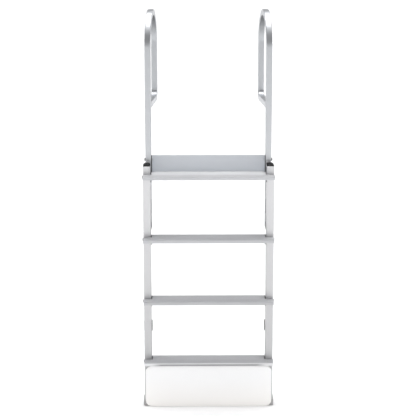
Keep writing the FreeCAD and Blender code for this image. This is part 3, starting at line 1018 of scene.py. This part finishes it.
def add_fasteners(name, places, template, form, turn=BOLT_TURN, finish=STEEL):
    """One piece holding every fastener of a kind, each turned by chance up to an angle."""
    points = chains_mesh(name + "_points", [[place] for place, _ in places])
    store(points, "facing", "FLOAT_VECTOR", "vector", [direction for _, direction in places])
    work = working_copy(name, form.apply(name, points, Fastener=template, Turn=turn, Finish=finish))
    work.data.shade_smooth()
    split = work.modifiers.new("crisp", "EDGE_SPLIT")
    split.split_angle = CRISP_ANGLE
    add_piece(name, baked(work), finish)
    bpy.data.objects.remove(template)


def tread_bolt_places():
    """Where the heads of the tread bolts lie on the rails, and where they face."""
    places = []
    for i in range(len(TREAD_NAMES)):
        z = TOP_TREAD - STEP_PITCH * i - TREAD_BOLT_DROP
        for _, side in SIDES:
            places.append((Vector((side * RAIL_OUTER, RAIL_MIDDLE, z)), Vector((side, 0, 0))))
    return places


def riser_bolt_places():
    """Where the heads of the riser bolts lie on the posts, and where they face."""
    outer = POST_X + TUBE_SIDE / 2
    return [(Vector((side * outer, POST_Y, RISER_BOLT_Z)), Vector((side, 0, 0))) for _, side in SIDES]


def clip_rivet_places():
    """Two rivets through each leg of each panel clip."""
    places = []
    for name, side in SIDES:
        low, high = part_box(name + "_panel_clips")
        for bottom in (low.z, high.z - CLIP_HEIGHT):
            for share in RIVETS_UP_CLIP:
                y, z = high.y - RIVET_FROM_CLIP_BACK, bottom + CLIP_HEIGHT * share
                on_rail = Vector((side * (RAIL_INNER - CLIP_THICKNESS), y, z))
                on_panel = Vector((side * (RAIL_INNER - RIVET_FROM_RAIL), RAIL_FRONT, z))
                places += [(on_rail, Vector((-side, 0, 0))), (on_panel, DOCKWARDS)]
    return places


def dress_nodes():
    """Eases the edges of the solids and gives each its finish."""
    for side, _ in SIDES:
        eased(side + "_rail", 0.8 * MM, RAIL)
        eased(side + "_rail_cap", 0.9 * MM, BLACK_PLASTIC, segments=3)
        eased(side + "_foot_cap", 1.2 * MM, GREY_PLASTIC, segments=3)
        eased(side + "_post_plug", 0.8 * MM, GREY_PLASTIC)
        eased(side + "_bumper", 1.5 * MM, RUBBER, segments=3)
        # The riser pads are black rubber; their black also stands for the shade in the gap between
        # post and riser, so it is partly painted shade.
        eased(side + "_riser_pad", 0.5 * MM, RUBBER)
        eased(side + "_panel_clips", 0.5 * MM, BRACKET)
        for name in TREAD_NAMES:
            eased(side + "_" + name + "_tread_bracket", 0.6 * MM, BRACKET)
            eased(side + "_" + name + "_tread_spacer", 0.4 * MM, SPACER)
    for name in TREAD_NAMES:
        eased(name + "_tread", 0.3 * MM, RIBBED)
    eased("riser_plate", 0.5 * MM, SHEET)
    eased("lower_panel", 1.6 * MM, PANEL, segments=4)


def add_tubes_and_welds():
    """The bent handrails and all the weld beads."""
    form = bent_tube_form()
    for name, side in SIDES:
        add_handrail(name + "_handrail", side, form)
    lines = chains_mesh("weld_lines", weld_chains())
    beads = weld_form().apply("welds", lines, Radius=BEAD_RADIUS, Ripple=BEAD_RIPPLE, Finish=WELD)
    add_piece("weld_beads", face_outwards(beads), WELD)


def add_all_fasteners():
    """The bolts of the treads and the riser, and the rivets of the panel clips."""
    form = fastener_form()
    tread_bolt = through_bolt("tread_bolt", RAIL_OUTER - BRACKET_BACK + BRACKET_THICKNESS)
    add_fasteners("tread_bolts", tread_bolt_places(), tread_bolt, form)
    riser_bolt = blind_bolt("riser_bolt", POST_X + TUBE_SIDE / 2 - RISER_FLANGE)
    add_fasteners("riser_bolts", riser_bolt_places(), riser_bolt, form)
    clip_rivet = rivet("clip_rivet")
    add_fasteners(
        "clip_rivets", clip_rivet_places(), clip_rivet, form,
        turn=0.0, finish=BRACKET,
    )


def add_light(name, kind, place, aim, power):
    """A light aimed from one point at another."""
    lamp = bpy.data.lights.new(name, kind)
    lamp.energy = power
    holder = bpy.data.objects.new(name, lamp)
    holder.location = place
    holder.rotation_euler = (Vector(aim) - Vector(place)).to_track_quat("-Z", "Y").to_euler()
    bpy.context.scene.collection.objects.link(holder)
    return holder


def add_lights():
    """A broad light overhead that keeps the floor white, and a front fill that isn't mirrored."""
    overhead = add_light("overhead", "SUN", OVERHEAD_PLACE, OVERHEAD_AIM, OVERHEAD_POWER)
    overhead.data.angle = OVERHEAD_SPREAD
    fill = add_light("front_fill", "AREA", FILL_PLACE, FILL_AIM, FILL_POWER)
    fill.data.shape = "RECTANGLE"
    fill.data.size, fill.data.size_y = FILL_SIZE
    fill.visible_glossy = False


def add_stage():
    """A plain pale floor under the foot caps."""
    floor_z = cad_low.z - FLOOR_GAP
    ends = (-FLOOR_REACH, FLOOR_REACH)
    corners = [(x, y, floor_z) for y in ends for x in ends]
    mesh = bpy.data.meshes.new("floor")
    mesh.from_pydata(corners, [], [(0, 1, 3, 2)])
    floor = bpy.data.objects.new("floor", mesh)
    bpy.context.scene.collection.objects.link(floor)
    finish = Finish("pale_floor")
    mesh.materials.append(finish.set(
        Base_Color=finish.mix((0.93, 0.93, 0.93), (0.95, 0.95, 0.95), finish.cloud(0.8)),
        Roughness=0.9,
    ))


def add_world():
    """Soft studio surroundings: bright overhead, greyer low down, and white behind the object."""
    world = bpy.data.worlds.new("studio")
    bpy.context.scene.world = world
    world.use_nodes = True
    sky = Tree(world.node_tree)
    looking = sky.node("ShaderNodeTexCoord", {}).outputs["Generated"]
    direction = sky.node("ShaderNodeSeparateXYZ", {0: looking}).outputs
    halves = []
    for levels in (FRONT_LEVELS, BACK_LEVELS):
        ramp = sky.node("ShaderNodeValToRGB", {"Fac": direction["Z"]})
        set_stops(ramp, levels, SKY_TINT)
        halves.append(ramp.outputs["Color"])
    inputs = {"Value": direction["Y"], "From Min": FRONT_EDGE, "From Max": BACK_EDGE}
    backness = sky.node("ShaderNodeMapRange", inputs).outputs["Result"]
    around = sky.mixed(*halves, backness)
    seen_directly = sky.node("ShaderNodeLightPath", {}).outputs["Is Camera Ray"]
    background = sky.tree.nodes["Background"]
    sky.plug(background.inputs["Color"], sky.mixed(around, BACKDROP, seen_directly))


def add_camera():
    """The camera at the photograph's place, height and angle."""
    data = bpy.data.cameras.new("camera")
    data.sensor_width = FILM_WIDTH
    data.lens = LENS
    data.clip_end = CLIP_END
    camera = bpy.data.objects.new("camera", data)
    camera.location = CAMERA_PLACE
    camera.rotation_euler = (math.pi / 2 - CAMERA_DOWN, 0.0, CAMERA_TURN)
    bpy.context.scene.collection.objects.link(camera)
    bpy.context.scene.camera = camera


def main():
    """The whole scene: the ladder's pieces, then what surrounds them."""
    dress_nodes()
    add_tubes_and_welds()
    add_all_fasteners()
    add_stage()
    add_world()
    add_lights()
    add_camera()
    bpy.context.scene.view_settings.view_transform = "Standard"
    bpy.context.scene.view_settings.look = "None"


main()
